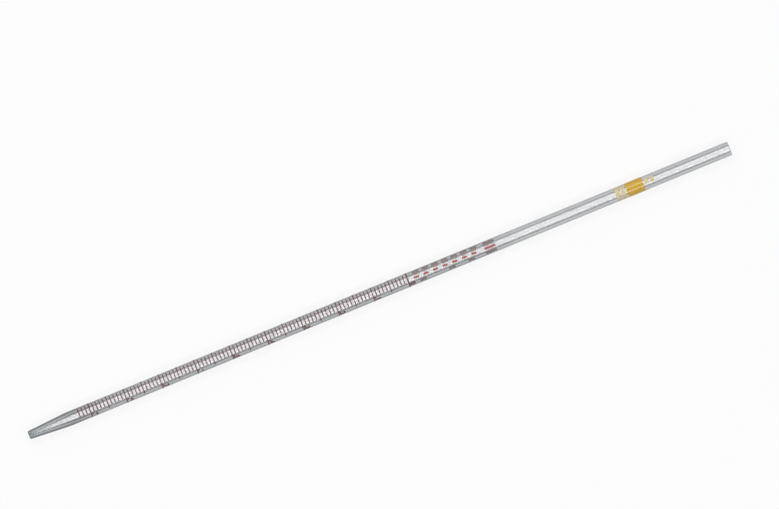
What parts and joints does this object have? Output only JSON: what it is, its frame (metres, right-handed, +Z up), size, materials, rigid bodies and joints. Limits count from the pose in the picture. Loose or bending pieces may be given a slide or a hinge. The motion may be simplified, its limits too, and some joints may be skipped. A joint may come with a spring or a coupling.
{
  "type": "serological pipette",
  "caption": "Slim glass pipette with a drawn-down tip, a straight measuring bore, a fused brown scale and a yellow colour band near its suction end.",
  "frame": {"origin": "middle of the pipette's length, below its axis, on the surface that it lies on", "axes": "+X along the pipette from the tip to the suction end, +Z up through the middle of the scale, numbers towards -Y"},
  "size_m": [0.27, 0.0052, 0.0052],
  "materials": {
    "borosilicate_glass": "clear, fire-polished",
    "brown_enamel": "fused ceramic enamel, dark red-brown, slightly glossy",
    "inscription_enamel": "fused ceramic enamel, grey-brown, slightly glossy",
    "red_enamel": "fused ceramic enamel, red, slightly glossy",
    "yellow_enamel": "fused ceramic enamel, amber yellow, glossy",
    "pale_yellow_enamel": "thin fused ceramic enamel, pale yellow, glossy"
  },
  "bodies": {
    "root": {"glass_tube": "borosilicate_glass", "graduation_marks": "brown_enamel", "inscription_bars": "inscription_enamel", "accent_bars": "red_enamel", "colour_band": "yellow_enamel", "code_stripes": "pale_yellow_enamel"}
  },
  "joints": []
}
